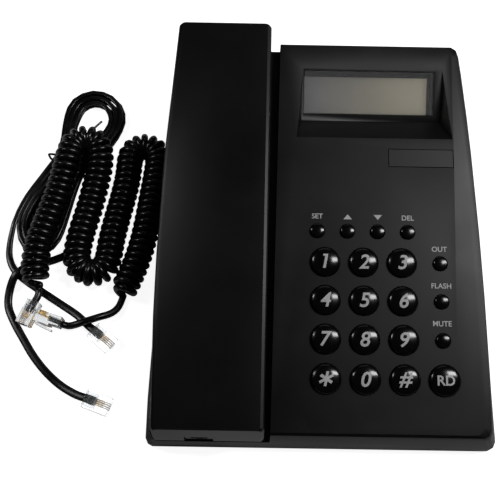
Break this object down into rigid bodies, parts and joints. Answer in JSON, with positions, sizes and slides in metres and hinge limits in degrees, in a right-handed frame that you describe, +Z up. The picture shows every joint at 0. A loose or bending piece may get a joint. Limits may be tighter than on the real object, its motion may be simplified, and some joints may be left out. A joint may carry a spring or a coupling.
{
  "type": "corded telephone",
  "caption": "Corded desk telephone with a sloping keypad panel, sunk display, handset in a side cradle, and loose curly and line cords.",
  "frame": {"origin": "middle of the base's footprint, on the table under its feet", "axes": "+X to the keypad side, +Y to the back, +Z up"},
  "size_m": [0.2625, 0.2094, 0.0735],
  "materials": {
    "case": "satin near-black",
    "keys": "glossy near-black",
    "cord": "soft shiny jacket",
    "inner": "plain moulding",
    "rubber": "soft rubber",
    "board": "solder resist",
    "clear": "clear moulding",
    "lcd": "grey-green display",
    "steel": "plain screw"
  },
  "bodies": {
    "base": {"base_upper_cover": "case", "base_lower_case": "case", "handset_cord": "cord", "line_cord_hank": "cord", "line_cord_lead_short": "cord", "line_cord_lead_long": "cord", "cord_tie": "cord", "hook_switch": "inner", "line_jack": "inner", "handset_jack": "inner", "ringer": "inner", "name_plate": "inner", "foot_front_left": "rubber", "foot_front_right": "rubber", "foot_back_left": "rubber", "foot_back_right": "rubber", "keypad_membrane": "rubber", "main_circuit_board": "board", "display_window": "clear", "handset_plug_far": "clear", "handset_plug_near": "clear", "line_plug_short": "clear", "line_plug_long": "clear", "lcd_panel": "lcd", "case_screw_front_left": "steel", "case_screw_front_right": "steel", "case_screw_back_left": "steel", "case_screw_back_right": "steel"},
    "handset": {"handset_upper_shell": "case", "handset_lower_shell": "case", "handset_socket": "inner", "handset_screw_front": "steel", "handset_screw_back": "steel", "receiver_capsule": "inner", "microphone_capsule": "inner"},
    "hook_plunger": {"hook_plunger": "keys"},
    "key_1_body": {"key_1": "keys"},
    "key_2_body": {"key_2": "keys"},
    "key_3_body": {"key_3": "keys"},
    "key_4_body": {"key_4": "keys"},
    "key_5_body": {"key_5": "keys"},
    "key_6_body": {"key_6": "keys"},
    "key_7_body": {"key_7": "keys"},
    "key_8_body": {"key_8": "keys"},
    "key_9_body": {"key_9": "keys"},
    "key_star_body": {"key_star": "keys"},
    "key_0_body": {"key_0": "keys"},
    "key_hash_body": {"key_hash": "keys"},
    "key_out_body": {"key_out": "keys"},
    "key_flash_body": {"key_flash": "keys"},
    "key_mute_body": {"key_mute": "keys"},
    "key_redial_body": {"key_redial": "keys"},
    "key_set_body": {"key_set": "keys"},
    "key_up_body": {"key_up": "keys"},
    "key_down_body": {"key_down": "keys"},
    "key_delete_body": {"key_delete": "keys"}
  },
  "joints": [
    {"name": "handset_lift", "type": "slide", "parent": "base", "child": "handset", "axis": [0, 0, 1], "range_m": [0, 0.12]},
    {"name": "plunger_rise", "type": "slide", "parent": "base", "child": "hook_plunger", "axis": [0, 0, 1], "range_m": [0, 0.004]},
    {"name": "key_1_press", "type": "slide", "parent": "base", "child": "key_1_body", "axis": [0, 0.1632, -0.9866], "range_m": [0, 0.0015], "stiffness_N_per_m": 400, "springref_m": -0.0005},
    {"name": "key_2_press", "type": "slide", "parent": "base", "child": "key_2_body", "axis": [0, 0.1632, -0.9866], "range_m": [0, 0.0015], "stiffness_N_per_m": 400, "springref_m": -0.0005},
    {"name": "key_3_press", "type": "slide", "parent": "base", "child": "key_3_body", "axis": [0, 0.1632, -0.9866], "range_m": [0, 0.0015], "stiffness_N_per_m": 400, "springref_m": -0.0005},
    {"name": "key_4_press", "type": "slide", "parent": "base", "child": "key_4_body", "axis": [0, 0.1632, -0.9866], "range_m": [0, 0.0015], "stiffness_N_per_m": 400, "springref_m": -0.0005},
    {"name": "key_5_press", "type": "slide", "parent": "base", "child": "key_5_body", "axis": [0, 0.1632, -0.9866], "range_m": [0, 0.0015], "stiffness_N_per_m": 400, "springref_m": -0.0005},
    {"name": "key_6_press", "type": "slide", "parent": "base", "child": "key_6_body", "axis": [0, 0.1632, -0.9866], "range_m": [0, 0.0015], "stiffness_N_per_m": 400, "springref_m": -0.0005},
    {"name": "key_7_press", "type": "slide", "parent": "base", "child": "key_7_body", "axis": [0, 0.1632, -0.9866], "range_m": [0, 0.0015], "stiffness_N_per_m": 400, "springref_m": -0.0005},
    {"name": "key_8_press", "type": "slide", "parent": "base", "child": "key_8_body", "axis": [0, 0.1632, -0.9866], "range_m": [0, 0.0015], "stiffness_N_per_m": 400, "springref_m": -0.0005},
    {"name": "key_9_press", "type": "slide", "parent": "base", "child": "key_9_body", "axis": [0, 0.1632, -0.9866], "range_m": [0, 0.0015], "stiffness_N_per_m": 400, "springref_m": -0.0005},
    {"name": "key_star_press", "type": "slide", "parent": "base", "child": "key_star_body", "axis": [0, 0.1632, -0.9866], "range_m": [0, 0.0015], "stiffness_N_per_m": 400, "springref_m": -0.0005},
    {"name": "key_0_press", "type": "slide", "parent": "base", "child": "key_0_body", "axis": [0, 0.1632, -0.9866], "range_m": [0, 0.0015], "stiffness_N_per_m": 400, "springref_m": -0.0005},
    {"name": "key_hash_press", "type": "slide", "parent": "base", "child": "key_hash_body", "axis": [0, 0.1632, -0.9866], "range_m": [0, 0.0015], "stiffness_N_per_m": 400, "springref_m": -0.0005},
    {"name": "key_out_press", "type": "slide", "parent": "base", "child": "key_out_body", "axis": [0, 0.1632, -0.9866], "range_m": [0, 0.0015], "stiffness_N_per_m": 400, "springref_m": -0.0005},
    {"name": "key_flash_press", "type": "slide", "parent": "base", "child": "key_flash_body", "axis": [0, 0.1632, -0.9866], "range_m": [0, 0.0015], "stiffness_N_per_m": 400, "springref_m": -0.0005},
    {"name": "key_mute_press", "type": "slide", "parent": "base", "child": "key_mute_body", "axis": [0, 0.1632, -0.9866], "range_m": [0, 0.0015], "stiffness_N_per_m": 400, "springref_m": -0.0005},
    {"name": "key_redial_press", "type": "slide", "parent": "base", "child": "key_redial_body", "axis": [0, 0.1632, -0.9866], "range_m": [0, 0.0015], "stiffness_N_per_m": 400, "springref_m": -0.0005},
    {"name": "key_set_press", "type": "slide", "parent": "base", "child": "key_set_body", "axis": [0, 0.1632, -0.9866], "range_m": [0, 0.0015], "stiffness_N_per_m": 400, "springref_m": -0.0005},
    {"name": "key_up_press", "type": "slide", "parent": "base", "child": "key_up_body", "axis": [0, 0.1632, -0.9866], "range_m": [0, 0.0015], "stiffness_N_per_m": 400, "springref_m": -0.0005},
    {"name": "key_down_press", "type": "slide", "parent": "base", "child": "key_down_body", "axis": [0, 0.1632, -0.9866], "range_m": [0, 0.0015], "stiffness_N_per_m": 400, "springref_m": -0.0005},
    {"name": "key_delete_press", "type": "slide", "parent": "base", "child": "key_delete_body", "axis": [0, 0.1632, -0.9866], "range_m": [0, 0.0015], "stiffness_N_per_m": 400, "springref_m": -0.0005}
  ],
  "couplings": [
    {"joint": "plunger_rise", "follows": "handset_lift", "ratio": 0.0333}
  ]
}
